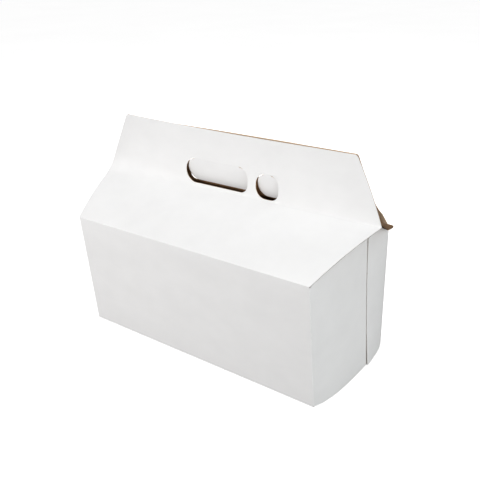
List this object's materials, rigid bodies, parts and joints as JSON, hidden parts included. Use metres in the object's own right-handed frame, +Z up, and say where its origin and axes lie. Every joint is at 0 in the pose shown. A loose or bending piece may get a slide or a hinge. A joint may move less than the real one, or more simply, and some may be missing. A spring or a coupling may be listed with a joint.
{
  "type": "paperboard carry-out box with handle",
  "caption": "Folded paperboard carry-out box: a tray with overlapped ends and hinged roof panels that rise into a carrying handle with a hand slot and a round lock.",
  "frame": {"origin": "on the floor, under the middle of the box's overall length and depth", "axes": "+X along the eaves and the handle, +Z up, -Y towards the handle panel that has the push-in flaps"},
  "size_m": [0.2844, 0.1282, 0.1891],
  "materials": {
    "tray_board": "matte",
    "lid_board": "matte",
    "push_flap_board": "matte"
  },
  "bodies": {
    "carton": {"carton_body": "tray_board"},
    "front_lid": {"front_lid_flap": "lid_board"},
    "rear_lid": {"rear_lid_flap": "lid_board"},
    "hand_flap": {"hand_slot_flap": "push_flap_board"},
    "lock_flap": {"round_lock_flap": "push_flap_board"}
  },
  "joints": [
    {"name": "front_lid_hinge", "type": "hinge", "parent": "carton", "child": "front_lid", "pos_m": [0, -0.06415, 0.1077], "axis": [1, 0, 0], "range_deg": [0, 150]},
    {"name": "rear_lid_hinge", "type": "hinge", "parent": "carton", "child": "rear_lid", "pos_m": [0, 0.06415, 0.1077], "axis": [-1, 0, 0], "range_deg": [0, 150]},
    {"name": "hand_flap_hinge", "type": "hinge", "parent": "front_lid", "child": "hand_flap", "pos_m": [-0.0127, 0.00168, 0.16015], "axis": [1, 0, 0], "range_deg": [-16, 64]},
    {"name": "lock_flap_hinge", "type": "hinge", "parent": "front_lid", "child": "lock_flap", "pos_m": [0.0401, 0.00159, 0.15806], "axis": [1, 0, 0], "range_deg": [-16, 64]}
  ]
}
